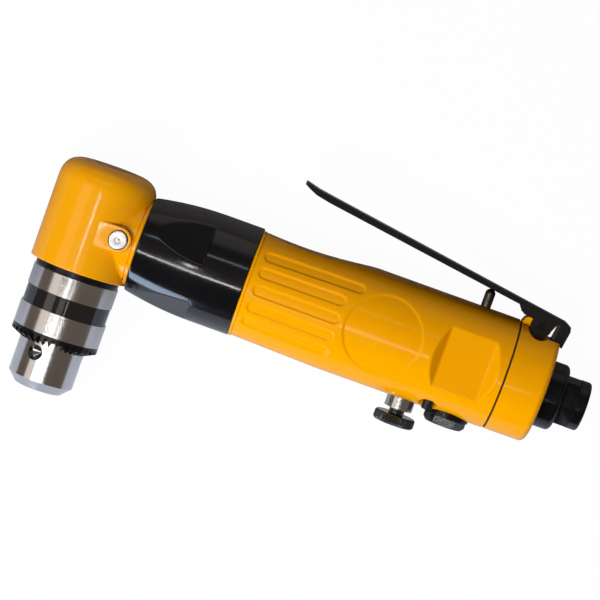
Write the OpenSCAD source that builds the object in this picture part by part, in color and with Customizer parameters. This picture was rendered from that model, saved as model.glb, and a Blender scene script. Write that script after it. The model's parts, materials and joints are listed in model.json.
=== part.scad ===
// Pneumatic right angle drill with a lever throttle and a keyed chuck.
// The tool lies on its side: X runs from the head to the air inlet, the chuck points to -Y, the lever to +Y.

/* [Angle head] */
// radius of the upright part of the head
head_r = 19.2; // [18.2:0.1:20.5]
// height of the head above the motor axis
head_top = 24; // [23:0.5:27]
// depth of the head below the motor axis
head_drop = 17.2; // [17:0.1:20]
// rounding of the top edge of the head
head_round = 9.5; // [5:0.5:10]
// wall between the gear chamber and the outside
head_wall = 5.2; // [4.5:0.1:5.4]
// radius of the neck
neck_r = 16.6; // [16:0.1:17.4]
// distance from the spindle axis to the end face of the neck
neck_len = 19; // [18:0.1:21]
// width of the rim at the end of the neck
rim_w = 1.4; // [0.8:0.1:2]
// height of that rim
rim_h = 0.5; // [0.2:0.1:0.8]
// half width of the raised pad round the grease fitting
pad_r = 5.1; // [4.4:0.1:5.5]
// distance from the spindle axis to the grease fitting
pad_x = 11.7; // [8.5:0.1:12.4]
// radius of the grease fitting
nipple_r = 3.5; // [2.5:0.1:3.8]
// length of the head's threaded spigot inside the coupling nut
spigot_len = 14; // [13:0.5:16]

/* [Coupling nut] */
// length of the coupling nut
nut_len = 42.8; // [42:0.2:48]
// radius at the rear
nut_r = 21.4; // [21:0.1:22]
// how much smaller the radius is at the front
nut_narrow = 2.9; // [1.4:0.1:3.4]
// length of the curved taper
nut_taper = 28; // [22:0.5:34]
// depth of the wrench flats below the rear radius
flat_cut = 1.8; // [1.4:0.1:2.5]
// distance from the front end to the end of the wrench flats
flat_end = 25.6; // [20:0.2:30]
// angle of the first wrench flat from the top of the tool
flat_angle = 62; // [0:1:90]

/* [Motor housing] */
// length of the housing
house_len = 103; // [101:0.2:115]
// radius of the housing
house_r = 21.9; // [21.7:0.1:23]
// how much smaller the radius is behind the front lip
house_narrow = 1; // [0.5:0.1:1.5]
// length over which the front widens
house_flare = 34; // [20:1:45]
// width of the front lip
lip_w = 1.3; // [0.8:0.1:2.5]
// depth of the waist on the lever side
waist_cut = 2.5; // [1.7:0.1:3]
// distance of that point from the front of the housing
waist_x = 17; // [12:0.5:24]
// radius of the long curve along the lever side
waist_curve = 150; // [120:5:200]
// number of grip grooves on each side
groove_n = 5; // [3:1:5]
// angle between grooves
groove_step = 19; // [17:0.5:20]
// width of a groove
groove_w = 5; // [4:0.1:5.4]
// depth of a groove
groove_d = 0.9; // [0.5:0.1:1.2]
// distance from the front of the housing to the grooves
groove_x = 3.2; // [2.8:0.1:6]
// length of a groove
groove_len = 35; // [26:0.5:37]
// extra length of the first groove
groove_more = 5.4; // [0:0.2:6]
// radius of the round recess
disc_r = 15; // [12:0.5:15.5]
// distance from the front of the housing to the middle of the recess
disc_x = 55; // [53.5:0.5:58]
// depth of the recess
disc_d = 0.5; // [0.3:0.05:0.9]
// distance from the front of the housing to the side flats
side_x = 78.6; // [77:0.2:82]
// length of a side flat
side_len = 17.9; // [15:0.1:19]
// depth of the side flats
side_cut = 3.6; // [2.7:0.1:4.3]
// slope length at the ends of a side flat
side_slope = 3; // [2:0.1:4]
// wall of the housing's front spigot round the motor
spigot_wall = 3; // [2.6:0.1:3.4]

/* [End cap] */
// thickness of the gasket
gasket_t = 0.6; // [0.4:0.1:1]
// length of the end cap
cap_len = 16; // [15.4:0.2:20]
// rounding of the rear edge
cap_round = 2.4; // [2:0.2:5.4]
// half thickness of the lever lug
lug_half = 4.6; // [4:0.1:6]
// radius of the boss at the front of the lug
boss_r = 1.9; // [1.6:0.1:2]
// clearance between the lug and the underside of the lever
lug_gap = 0.35; // [0.3:0.05:0.5]

/* [Air inlet] */
// drop of the inlet below the motor axis
inlet_drop = 1.5; // [1:0.1:1.7]
// radius of the inlet bushing inside the housing
inlet_body_r = 10; // [9.6:0.1:10.4]
// radius of the inlet collar
collar_r = 13; // [12:0.1:13.4]
// length of the inlet collar
collar_len = 7.8; // [5:0.2:10]
// width across flats of the inlet hex
inlet_af = 17; // [16:0.5:19]
// length of the inlet hex
inlet_hex_len = 5.6; // [4:0.2:9]
// radius of the end ring
inlet_ring_r = 9.6; // [9:0.1:10.5]
// length of the end ring
inlet_ring_len = 4.2; // [3:0.2:6]
// bore radius of the inlet thread
inlet_thread_r = 5.7; // [5:0.1:6.4]
// length of the inlet thread
inlet_thread_len = 12; // [9:0.5:14]

/* [Lever] */
// distance of the lever pivot behind the gasket
pivot_back = 7.1; // [6.2:0.1:7.4]
// height of the lever pivot above the motor axis
pivot_y = 22.3; // [21.9:0.1:23]
// lever angle at rest
lever_open = 8.6; // [6:0.1:9]
// length from the pivot to the tip
lever_len = 104.2; // [98:0.2:108]
// top of the lever above the pivot
lever_rise = 5.8; // [5.2:0.1:6]
// thickness of the lever
lever_t = 2; // [1.8:0.1:2.6]
// width of the lever
lever_w = 14; // [13.8:0.2:18]
// rise of the tip
tip_rise = 1.4; // [0.4:0.1:2]
// length of the raised tip
tip_len = 12; // [8:0.5:16]
// radius of the round ear
ear_r = 4.2; // [3.8:0.1:4.4]
// reach of the ear in front of the pivot
ear_front = 10.8; // [9:0.2:11]
// reach of the ear's lower front corner
ear_step = 8.2; // [7:0.2:8.6]
// height of that corner above the pivot
ear_low = 1.2; // [0.8:0.1:1.6]
// reach of the ear behind the pivot
ear_back = 5.2; // [4.6:0.1:5.4]
// reach of the tail behind the pivot
tail_back = 10.7; // [10.3:0.1:12]
// length of the tail
tail_len = 9.4; // [7:0.2:10]
// depth of the tail
tail_w = 4.2; // [3:0.1:4.3]
// radius of the pivot pin
pivot_r = 1.5; // [1:0.1:1.8]

/* [Throttle valve] */
// distance from the front of the housing to the valve axis
valve_x = 88.8; // [88:0.2:90]
// radius of the valve pin
pin_r = 1.95; // [1.5:0.05:2.2]
// radius of the valve chamber
chamber_v_r = 6.2; // [5.8:0.1:6.4]
// width across flats of the plug
plug_af = 14.2; // [14:0.2:16]
// height of the plug head
plug_h = 3.4; // [3:0.2:6]
// thickness of the plug washer
washer_t = 0.8; // [0.5:0.1:1.2]
// wire thickness of the valve spring
wire = 0.8; // [0.6:0.1:1]

/* [Speed regulator] */
// distance from the front of the housing to the regulator axis
regulator_x = 70.6; // [69.4:0.2:71.4]
// radius of the regulator bush
bush_r = 5.5; // [5:0.1:6]
// length of the bush outside the housing
bush_out = 4; // [3:0.2:6]
// radius of the regulator stem
stem_r = 3; // [2.5:0.1:3.2]
// length of stem between bush and knob
stem_out = 2.3; // [1.5:0.1:4]
// radius of the knob
knob_r = 8; // [7:0.1:8.2]
// thickness of the knob
knob_t = 3.9; // [3:0.1:6]

/* [Lock pin] */
// distance from the front of the housing to the lock pin
lock_x = 80.2; // [79.6:0.1:80.6]
// distance of the lock pin from the middle plane
lock_z = 9.4; // [8.8:0.1:9.8]
// radius of the lock pin
lock_r = 2.2; // [1.6:0.1:2.4]
// clearance of the scallop round the pin
lock_gap = 0.8; // [0.5:0.1:1]

/* [Chuck] */
// length of the chuck from its rear face to the nose
chuck_len = 45.3; // [44:0.2:52]
// radius of the rear band
rear_band_r = 16.8; // [16.6:0.1:18]
// height of the rear band
rear_band_h = 7.7; // [7.2:0.1:9]
// height of the black band
black_band_h = 6.9; // [5:0.1:7.5]
// step from the sleeve down to the black band
black_step = 0.5; // [0.3:0.1:0.8]
// radius of the sleeve
sleeve_r = 17; // [16.8:0.1:18]
// height of the sleeve
sleeve_h = 8.8; // [8:0.1:10]
// height of the toothed ring at its rim
tooth_rim = 2.5; // [2.2:0.1:4]
// height of the cone below the rim
tooth_cone = 2.1; // [1.5:0.1:3]
// number of key teeth
tooth_n = 36; // [24:1:40]
// depth of the key teeth
tooth_d = 1.7; // [1:0.1:2]
// radius of the nose
nose_r = 12.7; // [12.6:0.1:13.4]
// radius of the nose end
nose_end_r = 9.2; // [9:0.1:10.5]
// height of the nose cone
nose_cone = 3.6; // [2:0.1:5]
// radius of a key hole
key_r = 3; // [2.5:0.1:3.2]
// distance from the key teeth to the key holes
key_drop = 3.4; // [3.3:0.1:5]
// turn of the key holes about the chuck axis
key_turn = 110; // [0:1:119]
// radius of a jaw
jaw_r = 2.8; // [2.6:0.1:3]
// length of a jaw
jaw_len = 34; // [32:0.5:35]
// distance of a jaw's axis from the chuck axis at the rear face of the nut
nut_line_r = 9.57; // [9.2:0.01:9.8]
// grip radius at rest
grip_r = 4; // [3.8:0.1:4.2]
// radial travel from the closed jaws to the stored opening
jaw_close = 2.9; // [2.4:0.1:2.9]

/* [Drive train] */
// radius of the spindle at its middle
spindle_r = 5; // [4.6:0.1:5.2]
// radius of the spindle in its bearing
spindle_seat_r = 6; // [5.6:0.1:6.4]
// radius of the spindle thread
spindle_thread_r = 4.75; // [4.4:0.05:5]
// length of the spindle thread
spindle_thread = 12; // [10:0.5:13]
// height of the lower spindle bearing
spindle_brg_h = 6.5; // [6:0.1:7]
// height of the bearing cap outside the head
brg_cap_h = 2.2; // [1.5:0.1:2.5]
// radius of the bearing cap
brg_cap_r = 16.4; // [15.5:0.1:16.8]
// radius of the pinion shaft
shaft_r = 4.6; // [4.2:0.1:4.8]
// outer radius of the pinion bearings
shaft_brg_r = 9.2; // [8.6:0.1:9.6]
// width of a pinion bearing
shaft_brg_w = 5; // [4.5:0.1:5.5]
// wall of the coupling nut round the ring gear
ring_cover = 5.1; // [4.8:0.1:5.5]
// rim of the ring gear outside its pitch circle
ring_rim = 3.1; // [2.8:0.1:3.4]
// radius of a planet gear's bore
planet_hole_r = 1.8; // [1.5:0.1:2.2]
// wall of the planet carrier between its hub and the planet pins
hub_wall = 2; // [1.8:0.1:2.4]
// length of the planet gears
planet_w = 7; // [6:0.2:7.4]
// length of the ring gear
ring_len = 15.4; // [15:0.2:17]
// thickness of a motor end plate
plate_t = 6; // [5:0.2:6.6]
// length of the cylinder liner
liner_len = 42; // [36:0.5:44]
// wall of the liner
liner_wall = 2.2; // [1.8:0.1:2.6]
// offset of the rotor from the liner bore
rotor_offset = 1.3; // [0.9:0.1:1.6]
// number of vanes
vane_n = 5; // [4:1:5]
// thickness of a vane
vane_t = 1.6; // [1.2:0.1:2]
// radius of the rotor shaft
rotor_shaft_r = 3; // [2.8:0.1:3.1]
// outer radius of the rotor bearings
rotor_brg_r = 8; // [7:0.1:8.6]
// radius at the bottom of the vane slots
vane_root = 5.4; // [5:0.1:6]

/* [Hidden] */
$fn = 96;
fit = 0.02;
run = 0.04;
air = 0.3;
cut = 40;

chamber_r = head_r - head_wall;
house_x = neck_len + nut_len;
house_end = house_x + house_len;
cap_x = house_end + gasket_t;
cap_end = cap_x + cap_len;
inlet_end = cap_end + collar_len + inlet_hex_len + inlet_ring_len;
pivot_x = cap_x + pivot_back;
pin_x = house_x + valve_x;
reg_x = house_x + regulator_x;
spigot_end = neck_len + spigot_len;
ring_end = spigot_end + ring_len;
bore_end = ring_end + 2 * plate_t + liner_len;
nut_wall = 3.4;
nut_front_r = nut_r - nut_narrow;
flat_dist = nut_r - flat_cut;
tail_spigot_r = nut_r - nut_wall;
spigot_r = nut_front_r - nut_wall;
bore_r = tail_spigot_r - spigot_wall;
house_front_r = house_r - house_narrow;
waist_y = house_r - waist_cut;
side_z = house_r - side_cut;

ring_r = nut_r - ring_cover;
ring_pitch_r = ring_r - ring_rim;
planet_pitch_r = ring_pitch_r * 18 / 48;
sun_pitch_r = ring_pitch_r * 12 / 48;
arm_r = planet_pitch_r + sun_pitch_r;
tooth_add = ring_pitch_r * 0.030;
tooth_ded = ring_pitch_r * 0.042;
hub_r = arm_r - planet_hole_r - hub_wall;
carrier_r = ring_pitch_r - tooth_add - 1.35;
carrier_x = spigot_end + 1.2;
carrier_t = 3;
planet_x = carrier_x + carrier_t + air;

gear_n = 24;
pinion_n = 15;
gear_r = chamber_r - 2;
pinion_r = gear_r * pinion_n / gear_n;
cone_angle = atan(pinion_n / gear_n);
bevel_small = 0.68;
bevel_add = gear_r * 0.055;
bevel_ded = gear_r * 0.085;
pinion_room = pinion_r + bevel_add / cos(cone_angle) + 0.4;
gear_hub = 4.2;
gear_back = pinion_r + gear_hub;
bush_y = gear_back + air;
bush_roof = 4.2;
bush_top = head_top - bush_roof;
bush_out_r = 7;
journal_r = spindle_r - 0.6;
brg_low = head_drop - 1.5;
shaft_brg_x = gear_r + 2.6;

rear_y = head_drop + brg_cap_h + air + 0.2;
nose_y = rear_y + chuck_len;
band_y = rear_y + rear_band_h;
sleeve_y = band_y + black_band_h;
tooth_y = sleeve_y + sleeve_h;
tooth_end = tooth_y + tooth_rim + tooth_cone;
key_y = tooth_end + key_drop;
sleeve_in_r = sleeve_r - 1.5;
chuck_nut_h = 3.6;
nut_in_y = tooth_y - chuck_nut_h;
jaw_axis_r = grip_r - 1;
jaw_tip = nose_y - 1;
jaw_slant = atan((nut_line_r - jaw_axis_r) / (jaw_tip - nut_in_y));
jaw_gap = 0.15;
jaw_land = 16;
jaw_open = 1;
key_depth = 4.2;
jaw_trim = sleeve_in_r - 0.25;
jaw_back = jaw_r / cos(jaw_slant) + 0.15;
nut_rear_in = jaw_axis_r + (jaw_tip - nut_in_y) * tan(jaw_slant) + jaw_back;
nut_front_in = jaw_axis_r + (jaw_tip - tooth_y) * tan(jaw_slant) + jaw_back;

under = lever_rise - lever_t;
lug_r = under - lug_gap;
tail_low = lever_rise - tail_len;
tail_room_x = pivot_x + (tail_back - tail_w) * cos(lever_open) + tail_low * sin(lever_open) - 2 * air;
tail_room_y = pivot_y - tail_back * sin(lever_open) + tail_low * cos(lever_open) - 2 * air;
pin_top = pivot_y + (pivot_x - pin_x) * tan(lever_open) + under / cos(lever_open) - air;
seat_y = 6;
screen_r = inlet_thread_r - 0.5;
screen_t = 0.8;
port_r = 1.8;
port_in = 6.1;
port_at = house_r - port_in;
port_back = 24;
port_x = bore_end - port_back;
plug_depth = 11;
plug_in = house_r - plug_depth;
bush_in = 9;
lock_in = 9;
spring_r = 3.4;
socket_x = pin_x + chamber_v_r + 1;
vent_at = (inlet_body_r + house_r) / 2 - 1.05;
vent_in = vent_at - 2.4;
vent_out = vent_at + 0.5;
vent_hole_r = 1.2;
vent_hole_at = vent_at + 0.8;
vent_depth = 7;
valve_bush_in = 8;
nipple_in = 5;
nipple_out = 0.2;
nipple_bevel = 0.6;

x_mid = (inlet_end - head_r) / 2;
y_high = pivot_y + lever_len * sin(lever_open) + (lever_rise + tip_rise) * cos(lever_open);
y_mid = (y_high - nose_y) / 2;

yellow = [0.94, 0.64, 0.02];
black = [0.07, 0.07, 0.08];
steel = [0.72, 0.72, 0.74];
dark = [0.30, 0.30, 0.32];
brass = [0.72, 0.58, 0.28];
fibre = [0.36, 0.22, 0.12];

// puts the tool frame, centred where spindle and motor axes cross, on the resting surface
module place() {
    translate([-x_mid, -y_mid, house_r]) children();
}

// solid round bar along X
module xbar(r, x0, x1) {
    translate([x0, 0, 0]) rotate([0, 90, 0]) cylinder(r = r, h = x1 - x0);
}

// solid round bar along Y
module ybar(r, y0, y1) {
    translate([0, y1, 0]) rotate([90, 0, 0]) cylinder(r = r, h = y1 - y0);
}

// ring along X
module xring(r_out, r_in, x0, x1) {
    difference() {
        xbar(r_out, x0, x1);
        xbar(r_in, x0 - 1, x1 + 1);
    }
}

// turns a profile drawn with x as the tool axis and y as radius
module xturn() {
    rotate([90, 0, 90]) rotate_extrude() rotate([0, 0, 90]) mirror([0, 1, 0]) children();
}

// turns a profile drawn with x as radius and y as depth below the motor axis
module chuck_turn() {
    rotate([90, 0, 0]) rotate_extrude() children();
}

// toothed wheel outline
module wheel(n, r, add, ded, start) {
    step = 360 / n;
    polygon([for (i = [0 : n - 1]) for (p = [[-0.27, -ded], [-0.12, add], [0.12, add], [0.27, -ded]])
        (r + p[1]) * [cos(start + (i + p[0]) * step), sin(start + (i + p[0]) * step)]]);
}

// outline of the space inside an internal gear
module wheel_space(n, r, add, ded) {
    step = 360 / n;
    polygon([for (i = [0 : n - 1]) for (p = [[0.12, -add], [0.27, ded], [0.73, ded], [0.88, -add]])
        (r + p[1]) * [cos((i + p[0]) * step), sin((i + p[0]) * step)]]);
}

// rounded plate outline: a square whose far corner is rounded
module round_corner(w, h, r) {
    square([w - r, h]);
    square([w, h - r]);
    translate([w - r, h - r]) intersection() {
        circle(r = r);
        square(r + 1);
    }
}

// round bar with ball ends along X
module capsule(r, x0, x1) {
    xbar(r, x0, x1);
    translate([x0, 0, 0]) sphere(r = r);
    translate([x1, 0, 0]) sphere(r = r);
}

// both sides of the tool
module both_sides() {
    children();
    mirror([0, 0, 1]) children();
}

module head_outside() {
    rotate([-90, 0, 0]) translate([0, 0, -head_drop]) rotate_extrude()
        round_corner(head_r, head_drop + head_top, head_round);
    xturn() {
        square([neck_len, neck_r]);
        translate([neck_len - rim_w, 0]) square([rim_w, neck_r + rim_h]);
        translate([neck_len - rim_w, 0]) square([rim_w + spigot_len, spigot_r]);
    }
    linear_extrude(height = head_r - 0.25) {
        translate([2, -pad_r]) square([pad_x - 2, 2 * pad_r]);
        translate([pad_x, 0]) circle(r = pad_r);
    }
}

module angle_head() {
    color(yellow) place() difference() {
        head_outside();
        ybar(chamber_r + fit, -head_drop - 1, gear_back);
        ybar(bush_out_r + fit, 0, bush_top);
        xbar(pinion_room, 0, shaft_brg_x);
        xbar(shaft_brg_r + fit, shaft_brg_x, spigot_end + 1);
        translate([pad_x, 0, head_r - nipple_in]) cylinder(r = nipple_r + fit, h = nipple_in + 1);
    }
}

module grease_fitting() {
    color(steel) place() translate([pad_x, 0, head_r]) difference() {
        union() {
            translate([0, 0, -nipple_in]) cylinder(r = nipple_r, h = nipple_in + nipple_out);
            translate([0, 0, nipple_out])
                cylinder(r1 = nipple_r, r2 = nipple_r - 0.7, h = nipple_bevel);
        }
        translate([0, 0, nipple_out + nipple_bevel - 2.4]) cylinder(r1 = 0.9, r2 = 1.4, h = 3);
    }
}

module bearing_cap() {
    color(black) place() chuck_turn() difference() {
        union() {
            translate([0, head_drop]) square([brg_cap_r, brg_cap_h]);
            translate([0, brg_low]) square([chamber_r, head_drop - brg_low + 0.5]);
        }
        square([spindle_seat_r + 1.6, cut]);
    }
}

module spindle() {
    color(steel) place() chuck_turn() union() {
        translate([0, -bush_top + air]) square([journal_r, bush_top]);
        translate([0, -gear_back]) square([spindle_r, gear_back + brg_low]);
        translate([0, brg_low - spindle_brg_h - 0.6]) square([spindle_seat_r, spindle_brg_h + 1]);
        translate([0, brg_low + air]) square([spindle_seat_r + 1, rear_y - brg_low - air]);
        translate([0, rear_y - 1]) square([spindle_thread_r, spindle_thread + 1]);
    }
}

module spindle_bush() {
    color(brass) place() difference() {
        ybar(bush_out_r, bush_y, bush_top);
        ybar(journal_r + run, 0, cut);
    }
}

module spindle_bearing() {
    color(steel) place() difference() {
        ybar(chamber_r, -brg_low, spindle_brg_h - brg_low);
        ybar(spindle_seat_r + run, -cut, cut);
        for (y = [-brg_low - 1, spindle_brg_h - brg_low - 0.5])
            difference() {
                ybar(chamber_r - 2, y, y + 1.5);
                ybar(spindle_seat_r + 2, y - 1, y + 3);
            }
    }
}

module bevel_gear() {
    color(dark) place() difference() {
        union() {
            rotate([-90, 0, 0]) translate([0, 0, pinion_r]) mirror([0, 0, 1])
                linear_extrude(height = pinion_r * (1 - bevel_small), scale = bevel_small)
                    wheel(gear_n, gear_r, bevel_add / sin(cone_angle), bevel_ded / sin(cone_angle), 0);
            rotate([-90, 0, 0]) translate([0, 0, pinion_r])
                cylinder(r1 = gear_r - 1.2, r2 = gear_r - 4, h = gear_back - pinion_r - 0.4);
        }
        ybar(spindle_r + fit, -cut, cut);
    }
}

module bevel_pinion() {
    color(dark) place() {
        translate([gear_r, 0, 0]) mirror([1, 0, 0]) rotate([0, 90, 0])
            linear_extrude(height = gear_r * (1 - bevel_small), scale = bevel_small)
                wheel(pinion_n, pinion_r, bevel_add / cos(cone_angle), bevel_ded / cos(cone_angle),
                    90 + 180 / pinion_n);
        xbar(pinion_r - 1, gear_r - 0.1, gear_r + 1.6);
        xbar(shaft_r + 1.2, gear_r + 1, shaft_brg_x - air);
        xbar(shaft_r, gear_r, carrier_x);
        xbar(hub_r, spigot_end, carrier_x + carrier_t);
    }
}

module pinion_bearings() {
    color(steel) place() {
        xring(shaft_brg_r, shaft_r + run, shaft_brg_x, shaft_brg_x + shaft_brg_w);
        xring(shaft_brg_r, shaft_r + run, spigot_end - shaft_brg_w - 0.5, spigot_end - 0.5);
    }
}

module bearing_spacer() {
    color(steel) place()
        xring(shaft_brg_r, shaft_brg_r - 1.4, shaft_brg_x + shaft_brg_w, spigot_end - shaft_brg_w - 0.5);
}

module on_arms() {
    for (i = [0 : 2]) rotate([-120 * i, 0, 0]) translate([0, arm_r, 0]) children();
}

module planet_carrier() {
    color(dark) place() difference() {
        xbar(carrier_r, carrier_x, carrier_x + carrier_t);
        xbar(hub_r + fit, 0, house_x);
        on_arms() xbar(planet_hole_r, carrier_x - 1, house_x);
    }
}

module planet_pins() {
    color(steel) place() on_arms() xbar(planet_hole_r - fit, carrier_x, planet_x + planet_w + 0.5);
}

module planet(i) {
    color(dark) place() rotate([-120 * i, 0, 0]) translate([planet_x, arm_r, 0]) rotate([0, 90, 0])
        difference() {
            linear_extrude(height = planet_w) wheel(18, planet_pitch_r, tooth_add, tooth_ded, 100);
            translate([0, 0, -1]) cylinder(r = planet_hole_r + run, h = planet_w + 2);
        }
}

module ring_gear() {
    color(dark) place() translate([spigot_end, 0, 0]) rotate([0, 90, 0]) difference() {
        cylinder(r = ring_r, h = ring_len);
        translate([0, 0, -1]) rotate([0, 0, 90]) linear_extrude(height = ring_len + 2)
            wheel_space(48, ring_pitch_r, tooth_add, tooth_ded);
    }
}

module nut_profile() {
    intersection() {
        square([nut_len, nut_r]);
        union() {
            translate([nut_taper, 0]) square([nut_len, nut_r]);
            translate([nut_taper, nut_r - taper_curve()]) circle(r = taper_curve(), $fn = 480);
        }
    }
}

// radius of the long arc that narrows the coupling nut
function taper_curve() = (nut_taper * nut_taper + pow(nut_r - nut_front_r, 2)) / (2 * (nut_r - nut_front_r));

module coupling_nut() {
    color(black) place() difference() {
        translate([neck_len, 0, 0]) xturn() nut_profile();
        xbar(spigot_r + fit, neck_len - 1, house_x + 1);
        xbar(ring_r + fit, spigot_end, house_x + 1);
        xbar(tail_spigot_r + fit, ring_end, house_x + 1);
        for (a = [0 : 90 : 270]) rotate([flat_angle - 90 + a, 0, 0])
            translate([neck_len - 1, flat_dist, -cut / 2]) cube([flat_end + 1, cut, cut]);
    }
}

module front_plate() {
    color(steel) place() difference() {
        xbar(bore_r - fit, ring_end, ring_end + plate_t);
        xbar(rotor_shaft_r + 1, ring_end - 1, house_end);
        xbar(rotor_brg_r, ring_end + 1, ring_end + plate_t - 1);
        translate([0, dowel_r(), 0]) xbar(1 + fit, ring_end + plate_t - 3, house_end);
    }
}

// distance of the locating dowel from the axis
function dowel_r() = bore_r - 2;

module front_bearing() {
    color(steel) place()
        xring(rotor_brg_r - fit, rotor_shaft_r + run, ring_end + 1, ring_end + plate_t - 1);
}

module cylinder_liner() {
    color(steel) place() difference() {
        xbar(bore_r - fit, ring_end + plate_t, bore_end - plate_t);
        translate([0, -rotor_offset / 2, 0]) xbar(liner_bore(), 0, house_end);
        translate([0, dowel_r(), 0]) xbar(1 + fit, 0, house_end);
        side_ports(cut);
    }
}

// turns to each exhaust passage
module at_ports() {
    for (a = [60, -60]) rotate([a, 0, 0]) children();
}

// radial holes from the liner to the exhaust passages
module side_ports(r) {
    translate([port_x + 4, 0, 0]) at_ports() ybar(port_r - 0.3, 0, r);
}

// exhaust passages along the housing
module exhaust_ports(x0, x1) {
    at_ports() translate([0, port_at, 0]) xbar(port_r, x0, x1);
}

// bore radius of the cylinder liner
function liner_bore() = bore_r - liner_wall - rotor_offset / 2;

// radius of the rotor barrel
function rotor_r() = liner_bore() - rotor_offset / 2 - 0.15;

module rotor() {
    color(steel) place() {
        difference() {
            xbar(rotor_r(), ring_end + plate_t + 0.15, bore_end - plate_t - 0.15);
            for (i = [0 : vane_n - 1]) rotate([360 * i / vane_n, 0, 0])
                translate([0, vane_root, -vane_t / 2 - fit]) cube([house_end, cut, vane_t + 2 * fit]);
        }
        xbar(rotor_shaft_r, planet_x + planet_w + 0.4, bore_end - 1.4);
        translate([planet_x, 0, 0]) rotate([0, 90, 0]) linear_extrude(height = planet_w + 0.8)
            wheel(12, sun_pitch_r, tooth_add, tooth_ded, 90);
    }
}

module vanes() {
    color(fibre) place() for (i = [0 : vane_n - 1]) rotate([360 * i / vane_n, 0, 0])
        translate([ring_end + plate_t + air, vane_root + 0.1, -vane_t / 2])
            cube([liner_len - 2 * air, rotor_r() - vane_root - 0.2, vane_t]);
}

module rear_plate() {
    color(steel) place() difference() {
        xbar(bore_r - fit, bore_end - plate_t, bore_end);
        xbar(rotor_shaft_r + 1, 0, bore_end - 1);
        xbar(rotor_brg_r, bore_end - plate_t + 1, bore_end - 1);
        translate([0, dowel_r(), 0]) xbar(1 + fit, 0, bore_end - plate_t + 3);
    }
}

module rear_bearing() {
    color(steel) place()
        xring(rotor_brg_r - fit, rotor_shaft_r + run, bore_end - plate_t + 1, bore_end - 1);
}

module locating_dowel() {
    color(steel) place() translate([0, dowel_r(), 0])
        xbar(1, ring_end + plate_t - 2.9, bore_end - plate_t + 2.9);
}

module housing_outside() {
    xbar(house_front_r + 0.4, house_x, house_x + lip_w);
    translate([house_x + lip_w, 0, 0]) rotate([0, 90, 0])
        cylinder(r1 = house_front_r, r2 = house_r, h = house_flare);
    xbar(house_r, house_x + lip_w + house_flare, house_end);
    xbar(tail_spigot_r, ring_end, house_x + 1);
}

module grooves() {
    mid = (groove_n - 1) / 2;
    r = (groove_w * groove_w / 4 + groove_d * groove_d) / (2 * groove_d);
    lift = (house_front_r + house_r) / 2 - groove_d + r;
    for (i = [0 : groove_n - 1]) rotate([(mid - i) * -groove_step, 0, 0])
        translate([0, 0, lift]) capsule(r, house_x + groove_x + groove_w / 2,
            house_x + groove_x + groove_len + (i == 0 ? groove_more : 0) - groove_w / 2);
}

module round_recess() {
    difference() {
        translate([house_x + disc_x, 0, 0]) cylinder(r = disc_r, h = cut);
        xbar(house_r - disc_d, house_x, house_end);
    }
}

module side_flat() {
    rise = house_r - side_z + 1;
    run_out = side_slope * rise / (house_r - side_z);
    translate([house_x + side_x, cut, side_z]) rotate([90, 0, 0]) linear_extrude(height = 2 * cut)
        polygon([[0, 0], [side_len, 0], [side_len + run_out, rise], [-run_out, rise]]);
}

module motor_housing() {
    color(yellow) place() difference() {
        housing_outside();
        translate([house_x + waist_x, waist_y + waist_curve, -cut])
            cylinder(r = waist_curve, h = 2 * cut, $fn = 480);
        both_sides() grooves();
        both_sides() round_recess();
        both_sides() side_flat();
        xbar(bore_r, ring_end - 1, bore_end);
        exhaust_ports(port_x, cap_x);
        side_ports(port_at);
        translate([0, -inlet_drop, 0]) {
            xbar(inlet_body_r + fit, socket_x, cap_x + 1);
            xbar(4, pin_x, cap_x);
        }
        translate([pin_x, 0, 0]) {
            ybar(chamber_v_r, -cut, seat_y);
            ybar(4, 0, house_r - valve_bush_in);
            ybar(3.4 + fit, 0, cut);
            ybar(chamber_v_r + 0.8 + fit, -cut, -plug_in);
        }
        translate([0, seat_y + 3, 0]) xbar(2.1, bore_end - 1, pin_x);
        translate([reg_x, 0, 0]) {
            ybar(stem_r + run, -cut, seat_y + 7);
            ybar(bush_r + fit, -cut, -house_r + bush_in);
        }
        translate([house_x + lock_x, 0, lock_z]) {
            ybar(lock_r + lock_gap, -cut, -house_r + 4.6);
            ybar(lock_r + fit, -cut, -house_r + lock_in);
        }
    }
}

module valve_bush() {
    color(brass) place() translate([pin_x, 0, 0]) difference() {
        ybar(3.4, house_r - valve_bush_in, house_r - 0.3);
        ybar(pin_r + run, 0, cut);
    }
}

module valve_pin() {
    color(dark) place() translate([pin_x, 0, 0]) {
        ybar(pin_r, seat_y - 1, pin_top - pin_r);
        translate([0, pin_top - pin_r, 0]) sphere(r = pin_r);
    }
}

module throttle_valve() {
    color(brass) place() translate([pin_x, 0, 0]) difference() {
        union() {
            ybar(chamber_v_r - 1, seat_y - 4.6, seat_y - 1.6);
            ybar(2.6, -4, seat_y - 2);
            ybar(2.4, seat_y - 2, seat_y + 2);
        }
        ybar(pin_r + fit, seat_y - 1, cut);
    }
}

module valve_seat() {
    color(black) place() translate([pin_x, 0, 0]) difference() {
        ybar(chamber_v_r - fit, seat_y - 1.5, seat_y);
        ybar(3.2, -cut, cut);
    }
}

module valve_spring() {
    turns = 5;
    top = seat_y - 4.6;
    foot = -plug_in - 2;
    color(steel) place() translate([pin_x, foot + wire / 2, 0]) rotate([-90, 0, 0])
        linear_extrude(height = top - foot - wire, twist = -360 * turns, slices = turns * 20, $fn = 8)
            translate([spring_r, 0]) circle(r = wire / 2, $fn = 8);
}

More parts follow.
